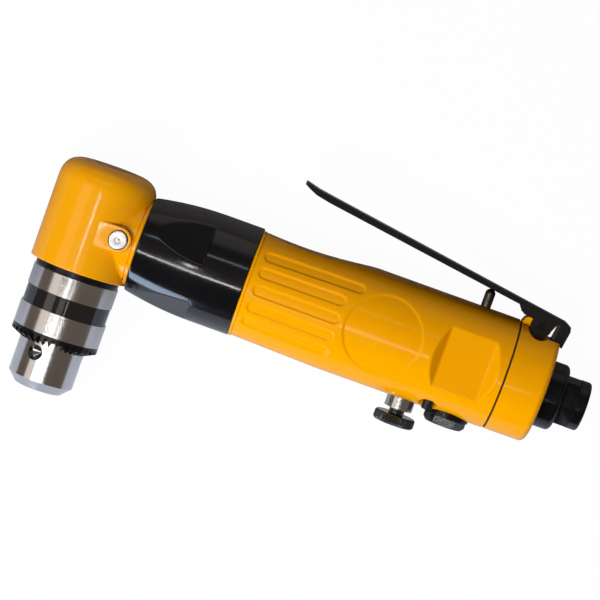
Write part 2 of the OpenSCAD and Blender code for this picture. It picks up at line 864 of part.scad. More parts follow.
module valve_plug() {
    hex_r = plug_af / sqrt(3);
    color(black) place() translate([pin_x, 0, 0]) difference() {
        union() {
            intersection() {
                translate([0, -house_r - washer_t, 0]) rotate([90, 0, 0])
                    cylinder(r = hex_r, h = plug_h, $fn = 6);
                translate([0, -house_r - washer_t, 0]) rotate([90, 0, 0])
                    cylinder(r1 = hex_r + 2, r2 = hex_r - 1.1, h = plug_h);
            }
            ybar(chamber_v_r + 0.8, -house_r - washer_t, -plug_in);
        }
        ybar(4.6, -plug_in - 2, cut);
    }
}

module plug_washer() {
    color(black) place() translate([pin_x, 0, 0]) difference() {
        ybar(plug_af / sqrt(3) + 0.6, -house_r - washer_t, -house_r + 1.4);
        ybar(chamber_v_r + 0.8 + fit, -cut, cut);
        xbar(house_r + fit, -cut, cut);
    }
}

module regulator_bush() {
    color(steel) place() translate([reg_x, 0, 0]) difference() {
        ybar(bush_r, -house_r - bush_out, -house_r + bush_in);
        ybar(stem_r + run, -cut, cut);
    }
}

module regulator_screw() {
    knob_y = house_r + bush_out + stem_out;
    color(black) place() translate([reg_x, 0, 0]) difference() {
        union() {
            ybar(stem_r, -knob_y - 1, seat_y + 6.7);
            rotate([90, 0, 0]) translate([0, 0, knob_y]) cylinder(r1 = knob_r - 0.5, r2 = knob_r, h = 0.5);
            ybar(knob_r, -knob_y - knob_t + 0.5, -knob_y - 0.5);
            rotate([90, 0, 0]) translate([0, 0, knob_y + knob_t - 0.5])
                cylinder(r1 = knob_r, r2 = knob_r - 0.5, h = 0.5);
        }
        translate([0, seat_y + 3, 0]) xbar(1.9, -cut, cut);
    }
}

module lock_pin() {
    color(black) place() translate([house_x + lock_x, 0, lock_z]) {
        ybar(lock_r, -house_r + 0.6, -house_r + lock_in);
        ybar(lock_r - 0.4, -house_r + 0.2, -house_r + 1);
    }
}

module gasket() {
    color(black) place() difference() {
        xbar(house_r - 0.5, house_end, cap_x);
        translate([0, -inlet_drop, 0]) xbar(inlet_body_r + fit, 0, inlet_end);
        exhaust_ports(house_end - 1, cap_x + 1);
    }
}

module cap_outside() {
    translate([cap_x, 0, 0]) xturn() round_corner(cap_len, house_r - 0.1, cap_round);
    translate([pivot_x, pivot_y, -lug_half]) cylinder(r = lug_r, h = 2 * lug_half);
    translate([cap_x, 0, -lug_half]) cube([pivot_back + lug_r, pivot_y, 2 * lug_half]);
    translate([cap_x + boss_r + 0.3, pivot_y, -lug_half]) cylinder(r = boss_r, h = 2 * lug_half);
}

// room beside the lug for an ear of the lever
module ear_room() {
    r = ear_r + 0.7;
    translate([pivot_x, pivot_y, lug_half]) cylinder(r = r, h = cut);
    translate([pivot_x - r, pivot_y, lug_half]) cube([2 * r, cut, cut]);
    translate([cap_x - 1, pivot_y - 1.4, lug_half]) cube([pivot_back + 1, cut, cut]);
}

module end_cap() {
    color(yellow) place() difference() {
        cap_outside();
        both_sides() ear_room();
        translate([pivot_x + lug_r, pivot_y - ear_r + 0.7, -cut]) cube([cut, cut, 2 * cut]);
        translate([tail_room_x, tail_room_y, -lever_w / 2 - 0.6]) cube([cut, cut, lever_w + 1.2]);
        translate([pivot_x, pivot_y, -cut]) cylinder(r = pivot_r + fit, h = 2 * cut);
        translate([0, -inlet_drop, 0]) xbar(inlet_body_r + fit, 0, inlet_end);
        xring(vent_out, vent_in, cap_x - 1, cap_x + vent_depth);
        for (i = [0 : 5]) rotate([30 + 60 * i, 0, 0]) translate([0, vent_hole_at, 0])
            xbar(vent_hole_r, cap_x, inlet_end);
    }
}

module inlet_bushing() {
    hex_x = cap_end + collar_len;
    ring_x = hex_x + inlet_hex_len;
    color(black) place() translate([0, -inlet_drop, 0]) difference() {
        union() {
            xbar(inlet_body_r, socket_x + air, cap_end + 1);
            translate([cap_end, 0, 0]) xturn() round_corner(collar_len, collar_r, 2);
            translate([hex_x - 0.5, 0, 0]) rotate([10, 0, 0]) rotate([0, 90, 0])
                cylinder(r = inlet_af / sqrt(3), h = inlet_hex_len + 1, $fn = 6);
            translate([ring_x, 0, 0]) xturn() round_corner(inlet_ring_len, inlet_ring_r, 1.2);
        }
        xbar(inlet_thread_r, inlet_end - inlet_thread_len, inlet_end + 1);
        xbar(screen_r + fit, inlet_end - inlet_thread_len - screen_t, inlet_end);
        xbar(4.4, 0, inlet_end);
    }
}

module inlet_screen() {
    x = inlet_end - inlet_thread_len;
    color(steel) place() translate([0, -inlet_drop, 0]) difference() {
        xbar(screen_r, x - screen_t, x);
        for (i = [0 : 5]) rotate([60 * i, 0, 0]) translate([0, 2.6, 0]) xbar(0.8, 0, inlet_end);
        xbar(0.8, 0, inlet_end);
    }
}

// side outline of the lever's bar and tail, drawn with the pivot at the origin and the tip on +x
module bar_outline() {
    polygon([[-tail_back, tail_low], [-tail_back, lever_rise - 2.4], [-tail_back + 0.7, lever_rise - 0.7],
        [-tail_back + 2.4, lever_rise], [lever_len - tip_len, lever_rise],
        [lever_len - tip_len / 2, lever_rise + tip_rise * 0.3], [lever_len, lever_rise + tip_rise],
        [lever_len, lever_rise + tip_rise - 0.9], [lever_len - tip_len / 2, under + tip_rise * 0.45],
        [lever_len - tip_len, under], [tail_w - tail_back, under], [tail_w - tail_back, tail_low]]);
}

// side outline of an ear
module ear_outline() {
    r = ear_r * 0.95;
    back = atan2(under, -ear_back) + acos(r / norm([ear_back, under]));
    circle(r = ear_r);
    polygon([[ear_front, under], [ear_front, under + 0.6], [-ear_back, under + 0.6], [-ear_back, under],
        r * [cos(back), sin(back)], [0, 0], [0, ear_low], [ear_step, ear_low]]);
}

// outline of the lever seen from above its bar
module plan_outline() {
    tip_r = lever_w * 0.62;
    translate([-2 * tail_back, -tip_r + 0.8]) square([lever_len + 2 * tail_back - tip_r, 2 * tip_r - 1.6]);
    translate([lever_len - tip_r, 0]) circle(r = tip_r);
}

module lever() {
    slot = lug_half + air;
    ear_t = lever_w / 2 - slot - 0.2;
    color(black) place() translate([pivot_x, pivot_y, 0]) rotate([0, 0, -lever_open]) mirror([1, 0, 0])
        difference() {
            union() {
                intersection() {
                    translate([0, 0, -lever_w / 2]) linear_extrude(height = lever_w) bar_outline();
                    rotate([90, 0, 0]) translate([0, 0, -cut]) linear_extrude(height = 2 * cut)
                        plan_outline();
                }
                both_sides() translate([0, 0, slot]) linear_extrude(height = ear_t) ear_outline();
            }
            translate([0, 0, -cut]) cylinder(r = pivot_r + run, h = 2 * cut);
        }
}

module lever_pivot() {
    color(steel) place() translate([pivot_x, pivot_y, -lever_w / 2]) cylinder(r = pivot_r, h = lever_w);
}

// slanted bar for jaw i, from s0 to s1 along its axis, measured back from the tip
module slanted(i, r, s0, s1) {
    rotate([90, 0, 0]) rotate([0, 0, key_turn + 60 + 120 * i]) translate([jaw_axis_r, 0, jaw_tip])
        rotate([0, -jaw_slant, 0]) translate([0, 0, -s1]) cylinder(r = r, h = s1 - s0);
}

module chuck_body() {
    color(steel) place() difference() {
        chuck_turn() difference() {
            union() {
                translate([0, rear_y]) square([rear_band_r, rear_band_h]);
                translate([0, band_y - 1]) square([sleeve_in_r - run, black_band_h + 1]);
                translate([0, sleeve_y - 1]) square([nose_r - 0.7, nut_in_y - air - sleeve_y + 1]);
                translate([0, sleeve_y]) square([nut_front_in - 1, tooth_y - sleeve_y + 2]);
                translate([0, tooth_y + 0.4]) square([nose_r, nose_y - nose_cone - tooth_y - 0.4]);
                polygon([[0, nose_y - nose_cone - 1], [nose_r, nose_y - nose_cone - 1],
                    [nose_r, nose_y - nose_cone], [nose_end_r, nose_y], [0, nose_y]]);
            }
            translate([0, rear_y - 1]) square([spindle_thread_r + fit, spindle_thread + 2]);
            translate([0, sleeve_y + 3]) square([grip_r + jaw_open + 0.4, chuck_len]);
        }
        for (i = [0 : 2]) intersection() {
            slanted(i, jaw_r + run, -cut, jaw_len + jaw_open / sin(jaw_slant) + 0.4);
            ybar(jaw_trim + run, -nose_y - 5, -rear_y - 3);
        }
        for (i = [0 : 2]) key_hole(i);
    }
}

// blind hole for the pilot of the chuck key, with a drilled bottom
module key_hole(i) {
    rotate([90, 0, 0]) rotate([0, 0, key_turn + 120 * i]) translate([0, 0, key_y]) rotate([0, 90, 0]) {
        translate([0, 0, nose_r - key_depth]) cylinder(r = key_r, h = 6);
        translate([0, 0, nose_r - key_depth - key_r * 0.55]) cylinder(r1 = 0, r2 = key_r, h = key_r * 0.55);
    }
}

module chuck_band() {
    color(black) place() chuck_turn() translate([sleeve_in_r, band_y + air])
        square([sleeve_r - black_step - sleeve_in_r, black_band_h - air]);
}

module chuck_sleeve() {
    color(steel) place() chuck_turn() translate([sleeve_in_r, sleeve_y])
        square([sleeve_r - sleeve_in_r, sleeve_h]);
}

module tooth_ring() {
    lean = atan2(tooth_cone, sleeve_r - nose_r);
    color(black) place() difference() {
        chuck_turn() polygon([[nose_r + run, tooth_y], [sleeve_r, tooth_y], [sleeve_r, tooth_y + tooth_rim],
            [nose_r + run, tooth_end]]);
        for (i = [0 : tooth_n - 1]) rotate([90, 0, 0]) rotate([0, 0, key_turn + (i + 0.5) * 360 / tooth_n])
            translate([sleeve_r + 0.6, 0, tooth_y + tooth_rim - 0.6 * tan(lean)])
                rotate([0, lean, 0]) rotate([0, -90, 0]) linear_extrude(height = 6)
                    polygon([[0.4, 1.25], [-tooth_d, 0.3], [-tooth_d, -0.3], [0.4, -1.25]]);
    }
}

module chuck_nut() {
    color(brass) place() chuck_turn() polygon([[nut_rear_in, nut_in_y], [sleeve_in_r, nut_in_y],
        [sleeve_in_r, tooth_y], [nut_front_in, tooth_y]]);
}

module jaw(i) {
    color(dark) place() intersection() {
        difference() {
            slanted(i, jaw_r, 0, jaw_len);
            ybar(grip_r, -nose_y - 1, -nose_y + jaw_land);
            rotate([90, 0, 0]) rotate([0, 0, key_turn + 60 + 120 * i]) translate([jaw_close, 0, 0]) {
                for (a = [60, -60]) rotate([0, 0, a])
                    translate([-cut, a > 0 ? -jaw_gap : jaw_gap - cut, rear_y]) cube([2 * cut, cut, 2 * cut]);
            }
        }
        rotate([90, 0, 0]) rotate([0, 0, key_turn + 60 + 120 * i]) translate([-jaw_open, 0, rear_y])
            cylinder(r = jaw_trim, h = cut * 2);
    }
}

module jaw_1() { jaw(0); }
module jaw_2() { jaw(1); }
module jaw_3() { jaw(2); }
module planet_1() { planet(0); }
module planet_2() { planet(1); }
module planet_3() { planet(2); }

angle_head();
grease_fitting();
bearing_cap();
spindle();
spindle_bush();
spindle_bearing();
bevel_gear();
bevel_pinion();
pinion_bearings();
bearing_spacer();
planet_carrier();
planet_pins();
planet_1();
planet_2();
planet_3();
ring_gear();
coupling_nut();
front_plate();
front_bearing();
cylinder_liner();
rotor();
vanes();
rear_plate();
rear_bearing();
locating_dowel();
motor_housing();
valve_bush();
valve_pin();
throttle_valve();
valve_seat();
valve_spring();
valve_plug();
plug_washer();
regulator_bush();
regulator_screw();
lock_pin();
gasket();
end_cap();
inlet_bushing();
inlet_screen();
lever();
lever_pivot();
chuck_body();
chuck_band();
chuck_sleeve();
tooth_ring();
chuck_nut();
jaw_1();
jaw_2();
jaw_3();
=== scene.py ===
import json
import math

import bmesh
import bpy
from bpy.props import FloatProperty, FloatVectorProperty, IntProperty, PointerProperty
from mathutils import Matrix, Vector


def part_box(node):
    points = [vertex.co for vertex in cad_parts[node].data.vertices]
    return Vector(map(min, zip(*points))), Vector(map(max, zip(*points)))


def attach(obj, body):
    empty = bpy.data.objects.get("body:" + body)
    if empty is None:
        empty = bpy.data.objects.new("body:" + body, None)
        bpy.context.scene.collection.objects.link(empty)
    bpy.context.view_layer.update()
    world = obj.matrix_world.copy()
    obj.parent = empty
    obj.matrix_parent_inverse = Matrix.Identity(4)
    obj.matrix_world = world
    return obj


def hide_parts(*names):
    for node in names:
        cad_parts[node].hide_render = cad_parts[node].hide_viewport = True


bl_info = {
    "name": "Right Angle Air Drill",
    "version": (1, 0, 0),
    "blender": (4, 5, 0),
    "location": "View3D > Sidebar > Drill",
    "description": "Dresses the packed drill with its castings, chuck, lever, finishes and studio",
    "category": "Object",
}

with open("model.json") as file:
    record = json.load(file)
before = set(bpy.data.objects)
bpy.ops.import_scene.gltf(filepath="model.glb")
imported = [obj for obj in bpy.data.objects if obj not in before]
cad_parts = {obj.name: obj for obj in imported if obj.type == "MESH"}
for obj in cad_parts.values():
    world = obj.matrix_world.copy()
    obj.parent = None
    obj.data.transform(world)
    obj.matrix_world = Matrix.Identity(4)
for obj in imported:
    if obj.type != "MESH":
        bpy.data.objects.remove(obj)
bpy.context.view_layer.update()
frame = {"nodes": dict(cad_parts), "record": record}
MM = 0.001

# the spindle and motor axes cross here
CHUCK_MID = (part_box("chuck_sleeve")[0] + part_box("chuck_sleeve")[1]) / 2
MOTOR_MID = (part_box("gasket")[0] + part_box("gasket")[1]) / 2
CROSSING = Vector((CHUCK_MID.x, MOTOR_MID.y, CHUCK_MID.z))
TO_ROW = Matrix.Translation(CROSSING) @ Matrix.Scale(MM, 4)


def span(node):
    """Lowest and highest corner of a node, in millimetres from where the axes cross."""
    low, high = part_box(node)
    return (low - CROSSING) / MM, (high - CROSSING) / MM


HEAD_LOW, HEAD_HIGH = span("angle_head")
NUT_LOW, NUT_HIGH = span("coupling_nut")
GASKET_LOW, GASKET_HIGH = span("gasket")
KNOB_LOW = span("regulator_screw")[0]
FITTING_LOW, FITTING_HIGH = span("grease_fitting")
LOCK_MID = sum(span("lock_pin"), Vector()) / 2
KNOB_MID = sum(span("regulator_bush"), Vector()) / 2
FITTING_MID = (FITTING_LOW + FITTING_HIGH) / 2


class HeadSizes(bpy.types.PropertyGroup):
    radius: FloatProperty(name="Head radius", description="Radius of the upright casting in millimetres",
                          default=-HEAD_LOW.x)
    crown: FloatProperty(name="Crown rounding", description="Rounding of the top of the head in millimetres",
                         default=9.5)
    neck: FloatProperty(name="Neck radius", description="Radius of the neck in millimetres", default=16.6)
    blend: FloatProperty(name="Casting blend", description="Fillet where neck and head meet, in millimetres",
                         default=0.4)
    pad: FloatProperty(name="Pad half width", description="Half width of the pad round the grease fitting",
                       default=5.0)
    groove: FloatProperty(name="Rim groove", description="Depth of the groove in front of the neck's rim",
                          default=0.6)


class HousingSizes(bpy.types.PropertyGroup):
    radius: FloatProperty(name="Radius", description="Radius of the housing in millimetres",
                          default=GASKET_HIGH.z + 0.5)
    front: FloatProperty(name="Front radius", description="Radius behind the front lip in millimetres",
                         default=20.9)
    flare: FloatProperty(name="Flare", description="Length over which the front widens", default=34)
    waist: FloatProperty(name="Waist", description="Height of the lever side at its lowest point",
                         default=19.4)
    waist_at: FloatProperty(name="Waist place", description="Distance of the waist from the front",
                            default=17)
    waist_curve: FloatProperty(name="Waist curve", description="Radius of the long curve on the lever side",
                               default=150)
    grooves: IntProperty(name="Grooves", description="Grip grooves on each side", default=5)
    groove_step: FloatProperty(name="Groove angle", description="Angle between grooves in degrees",
                               default=19)
    groove_width: FloatProperty(name="Groove width", description="Width of a groove in millimetres",
                                default=5)
    groove_depth: FloatProperty(name="Groove depth", description="Depth of a groove in millimetres",
                                default=0.55)
    groove_start: FloatProperty(name="Groove start", description="Distance from the front to the grooves",
                                default=3.2)
    groove_length: FloatProperty(name="Groove length", description="Length of a groove in millimetres",
                                 default=35)
    groove_more: FloatProperty(name="First groove", description="Extra length of the first groove",
                               default=5.4)
    disc: FloatProperty(name="Recess radius", description="Radius of the round recess", default=15)
    disc_at: FloatProperty(name="Recess place", description="Distance from the front to the recess",
                           default=55)
    disc_depth: FloatProperty(name="Recess depth", description="Depth of the round recess", default=0.4)
    flat_at: FloatProperty(name="Side flat start", description="Distance from the front to the side flats",
                           default=78.6)
    flat_length: FloatProperty(name="Side flat length", description="Length of a side flat", default=17.9)
    flat_height: FloatProperty(name="Side flat height",
                               description="Distance of the side flats from the axis", default=18.3)
    flat_slope: FloatProperty(name="Side flat slope",
                              description="Length of the slope at the ends of a side flat", default=3.6)
    scallop: FloatProperty(name="Scallop radius", description="Radius of the scallop round the lock pin",
                           default=3.3)


class NutSizes(bpy.types.PropertyGroup):
    front: FloatProperty(name="Front radius", description="Radius at the front in millimetres", default=18.5)
    rear: FloatProperty(name="Rear radius", description="Radius at the rear in millimetres", default=21.4)
    taper: FloatProperty(name="Taper", description="Length of the curved taper", default=28)
    flat: FloatProperty(name="Flat distance", description="Distance of the wrench flats from the axis",
                        default=19.6)
    flat_end: FloatProperty(name="Flat length", description="Length of the wrench flats", default=25.6)
    turn: FloatProperty(name="Flat turn", description="Turn of the first flat from the upper side in degrees",
                        default=28)


class KnobSizes(bpy.types.PropertyGroup):
    radius: FloatProperty(name="Radius", description="Radius of the regulator knob", default=8)
    knurls: IntProperty(name="Knurls", description="Ridges round the knob", default=44)
    depth: FloatProperty(name="Knurl depth", description="Depth of the ridges in millimetres", default=0.35)


class FinishColours(bpy.types.PropertyGroup):
    enamel: FloatVectorProperty(name="Enamel", description="Colour of the castings", subtype="COLOR",
                                default=(0.88, 0.365, 0.0))
    enamel_deep: FloatVectorProperty(name="Enamel shade", description="Where the enamel is thicker",
                                     subtype="COLOR", default=(0.83, 0.33, 0.0))
    black: FloatVectorProperty(name="Black paint", description="Colour of nut and lever", subtype="COLOR",
                               default=(0.0035, 0.0033, 0.0036))
    oxide: FloatVectorProperty(name="Black oxide", description="Colour of the blackened steel",
                               subtype="COLOR", default=(0.003, 0.003, 0.0035))
    steel: FloatVectorProperty(name="Bright steel", description="Colour of the turned steel", subtype="COLOR",
                               default=(0.60, 0.585, 0.575))


class StageSizes(bpy.types.PropertyGroup):
    aim: FloatVectorProperty(name="Aim",
                             description="Middle of the picture, in millimetres from the crossing axes",
                             default=(83.323, 0.316, -0.898))
    yaw: FloatProperty(name="Yaw", description="Turn of the view in degrees", default=0.212)
    pitch: FloatProperty(name="Pitch", description="Tilt of the view in degrees", default=4.602)
    roll: FloatProperty(name="Roll", description="Roll of the view in degrees", default=-19.8)
    distance: FloatProperty(name="Distance", description="Camera distance", default=0.974, unit="LENGTH")
    lens: FloatProperty(name="Lens", description="Focal length in millimetres", default=153.26)


class Term:
    """A shader value that Python's operators work on."""

    def __init__(self, finish, socket):
        self.finish = finish
        self.socket = socket

    def _with(self, operation, *values):
        return self.finish.node("Math", {"operation": operation}, dict(enumerate(values)))[0]

    def __add__(self, other):
        return self._with("ADD", self, other)

    def __radd__(self, other):
        return self._with("ADD", other, self)

    def __mul__(self, other):
        return self._with("MULTIPLY", self, other)

    def __rmul__(self, other):
        return self._with("MULTIPLY", other, self)


class Outputs:
    """The outputs of one node, by name or place."""

    def __init__(self, finish, node):
        self.finish = finish
        self.node = node

    def __getitem__(self, key):
        return Term(self.finish, self.node.outputs[key])


class Finish:
    """Builds one node tree."""

    def __init__(self, tree):
        self.tree = tree
        tree.nodes.clear()

    def node(self, kind, settings=None, sockets=None):
        made = self.tree.nodes.new("ShaderNode" + kind)
        for key, value in (settings or {}).items():
            if key == "stops":
                ramp = made.color_ramp
                while len(ramp.elements) < len(value):
                    ramp.elements.new(0.5)
                for element, (place, colour) in zip(ramp.elements, value):
                    element.position = place
                    element.color = (*colour, 1.0)
            else:
                setattr(made, key, value)
        for key, value in (sockets or {}).items():
            if isinstance(value, Term):
                self.tree.links.new(value.socket, made.inputs[key])
            else:
                made.inputs[key].default_value = value
        return Outputs(self, made)

    def place(self, stretch=(1.0, 1.0, 1.0)):
        coords = self.node("TexCoord")["Object"]
        return self.node("Mapping", None, {"Vector": coords, "Scale": stretch})["Vector"]

    def noise(self, scale, detail=2.0, stretch=(1.0, 1.0, 1.0), rough=0.5):
        return self.node("TexNoise", None, {"Vector": self.place(stretch), "Scale": scale, "Detail": detail,
                                            "Roughness": rough})["Fac"]

    def mix(self, amount, first, second):
        return self.node("Mix", {"data_type": "RGBA"}, {0: amount, 6: (*first, 1.0), 7: (*second, 1.0)})[2]

    def bump(self, height, strength, distance):
        sockets = {"Height": height, "Strength": strength, "Distance": distance}
        return self.node("Bump", None, sockets)["Normal"]

    def end(self, shader):
        self.node("OutputMaterial", None, {"Surface": shader})


FINISHES = {}


def finish_named(name):
    material = bpy.data.materials.new(name)
    material.use_nodes = True
    FINISHES[name] = material
    return Finish(material.node_tree)


def make_enamel(name, colours, shine):
    f = finish_named(name)
    tone = f.noise(55.0, 3.0)
    peel = f.noise(620.0, 2.0)
    wave = f.noise(130.0, 1.0)
    speck = f.noise(2600.0, 1.0)
    colour = f.mix(tone * 0.9, colours.enamel, colours.enamel_deep)
    normal = f.bump(peel * 0.35 + wave * 0.65, 0.16, 0.0006)
    f.end(f.node("BsdfPrincipled", None, {
        "Base Color": colour, "Roughness": 0.10 + 0.05 * speck, "Specular IOR Level": shine,
        "Normal": normal})["BSDF"])


def make_black(name, colour, rough, scale, shine):
    f = finish_named(name)
    tone = f.noise(scale, 3.0)
    grain = f.noise(scale * 8.0, 2.0)
    shade = f.mix(tone, colour, tuple(v * 1.8 for v in colour))
    normal = f.bump(grain, 0.05, 0.0003)
    f.end(f.node("BsdfPrincipled", None, {
        "Base Color": shade, "Roughness": rough + 0.08 * tone, "Specular IOR Level": shine,
        "Normal": normal})["BSDF"])


def make_turned_steel(name, colour, stretch, base_rough):
    f = finish_named(name)
    lines = f.noise(420.0, 4.0, stretch, 0.65)
    fine = f.noise(1500.0, 2.0, stretch, 0.6)
    cloud = f.noise(60.0, 3.0)
    shade = f.mix(lines * 0.7 + cloud * 0.3, colour, tuple(v * 0.82 for v in colour))
    normal = f.bump(lines * 0.5 + fine * 0.5, 0.10, 0.0002)
    f.end(f.node("BsdfPrincipled", None, {
        "Base Color": shade, "Metallic": 1.0, "Roughness": base_rough + 0.12 * fine,
        "Normal": normal})["BSDF"])


def make_plain(name, colour, metallic, rough, scale):
    f = finish_named(name)
    tone = f.noise(scale, 4.0)
    grain = f.noise(scale * 9.0, 2.0)
    shade = f.mix(tone, colour, tuple(v * 0.7 for v in colour))
    normal = f.bump(grain, 0.12, 0.0003)
    f.end(f.node("BsdfPrincipled", None, {
        "Base Color": shade, "Metallic": metallic, "Roughness": rough + 0.15 * tone,
        "Normal": normal})["BSDF"])


def smooth_min(a, b, k):
    h = min(max(0.5 + 0.5 * (b - a) / k, 0.0), 1.0)
    return b + (a - b) * h - k * h * (1.0 - h)


def smooth_max(a, b, k):
    return -smooth_min(-a, -b, k)


def ease(t):
    t = min(max(t, 0.0), 1.0)
    return t * t * (3.0 - 2.0 * t)


def rounded(points, radius, steps=4):
    """The open outline through points with its inner corners rounded; a radius for all or one for each."""
    out = [points[0]]
    for i in range(1, len(points) - 1):
        r = radius[i] if isinstance(radius, (list, tuple)) else radius
        a, p, b = (Vector(points[i + d]) for d in (-1, 0, 1))
        u, w = a - p, b - p
        half = u.angle(w) / 2.0
        reach = min(r / max(math.tan(half), 1e-6), u.length * 0.48, w.length * 0.48)
        if reach < 1e-4:
            out.append(tuple(p))
            continue
        start, finish = p + u.normalized() * reach, p + w.normalized() * reach
        for k in range(steps + 1):
            t = k / steps
            out.append(tuple(start * (1 - t) ** 2 + p * 2 * t * (1 - t) + finish * t * t))
    out.append(points[-1])
    return out


def spaced(points, step):
    """The outline with its long stretches divided."""
    out = [points[0]]
    for a, b in zip(points, points[1:]):
        count = max(1, math.ceil((Vector(b) - Vector(a)).length / step))
        out += [tuple(Vector(a).lerp(Vector(b), k / count)) for k in range(1, count + 1)]
    return out


def lathe(outline, axis, steps):
    """Spins an outline of (place along the axis, radius) about X or about the spindle."""
    bm = bmesh.new()
    if axis == "X":
        verts = [bm.verts.new((a, r, 0.0)) for a, r in outline]
        turn = Vector((1.0, 0.0, 0.0))
    else:
        verts = [bm.verts.new((r, a, 0.0)) for a, r in outline]
        turn = Vector((0.0, 1.0, 0.0))
    edges = [bm.edges.new(pair) for pair in zip(verts, verts[1:])]
    bmesh.ops.spin(bm, geom=verts + edges, cent=(0, 0, 0), axis=turn, angle=2 * math.pi, steps=steps,
                   use_merge=True)
    bmesh.ops.remove_doubles(bm, verts=bm.verts, dist=1e-4)
    return bm


def finish_piece(name, bm, material, body, nodes, sharp=32.0, in_mm=True):
    """Makes the object, at the origin, and sets it in the frame."""
    bmesh.ops.recalc_face_normals(bm, faces=bm.faces)
    if in_mm:
        bmesh.ops.transform(bm, matrix=TO_ROW, verts=bm.verts)
    limit = math.radians(sharp)
    for face in bm.faces:
        face.smooth = True
    for edge in bm.edges:
        edge.smooth = len(edge.link_faces) == 2 and edge.calc_face_angle(0.0) < limit
    mesh = bpy.data.meshes.new(name)
    bm.to_mesh(mesh)
    bm.free()
    piece = bpy.data.objects.new(name, mesh)
    bpy.context.scene.collection.objects.link(piece)
    mesh.materials.append(FINISHES[material])
    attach(piece, body)
    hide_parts(*nodes)
    return piece


def joined_copy(node):
    """A copy of a CAD piece's mesh with its triangles joined."""
    bm = bmesh.new()
    bm.from_mesh(frame["nodes"][node].data)
    bmesh.ops.remove_doubles(bm, verts=bm.verts, dist=2e-6)
    return bm


def smooth_copy(node, material, body, sharp=28.0, turn=0.0):
    """A CAD piece with its curved faces shaded smooth, turned on its upright."""
    bm = joined_copy(node)
    if turn:
        middle = (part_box(node)[0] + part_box(node)[1]) / 2
        about = Matrix.Rotation(math.radians(turn), 3, "Y")
        bmesh.ops.rotate(bm, cent=middle, matrix=about, verts=bm.verts)
    return finish_piece("dressed_" + node, bm, material, body, [node], sharp, in_mm=False)


class DRILL_OT_finishes(bpy.types.Operator):
    """Makes the finishes and gives the inner pieces theirs"""
    bl_idname = "drill.finishes"
    bl_label = "Finishes"

    def execute(self, context):
        colours = context.scene.drill_colours
        steel = tuple(colours.steel)
        make_enamel("orange_enamel", colours, 0.11)
        make_enamel("head_enamel", colours, 0.36)
        make_black("black_paint", tuple(colours.black), 0.08, 70.0, 0.6)
        make_black("black_oxide", tuple(colours.oxide), 0.14, 160.0, 0.3)
        make_black("polished_oxide", tuple(colours.oxide), 0.03, 160.0, 0.8)
        make_turned_steel("chuck_steel", steel, (0.03, 1.0, 0.03), 0.11)
        make_turned_steel("shaft_steel", steel, (1.0, 0.03, 0.03), 0.16)
        make_plain("gear_steel", (0.27, 0.27, 0.28), 1.0, 0.32, 300.0)
        make_plain("fitting_steel", (0.80, 0.79, 0.78), 1.0, 0.26, 500.0)
        make_plain("dark_steel", (0.16, 0.14, 0.125), 1.0, 0.24, 400.0)
        make_plain("bronze", (0.55, 0.37, 0.15), 1.0, 0.30, 300.0)
        make_plain("ground_iron", (0.32, 0.32, 0.33), 1.0, 0.36, 300.0)
        make_plain("fibre", (0.15, 0.075, 0.035), 0.0, 0.6, 500.0)
        make_plain("seal_rubber", (0.008, 0.006, 0.005), 0.0, 0.6, 600.0)
        by_slot = {"enamel": "orange_enamel", "black_gloss": "black_paint", "black_oxide": "black_oxide",
                   "bright_steel": "shaft_steel", "gear_steel": "gear_steel", "bronze": "bronze",
                   "liner_steel": "ground_iron", "fibre": "fibre", "seal": "seal_rubber"}
        for entry in frame["record"]["subparts"]:
            mesh = frame["nodes"][entry["node"]].data
            mesh.materials.clear()
            mesh.materials.append(FINISHES[by_slot[entry["material_slot"]]])
        return {"FINISHED"}


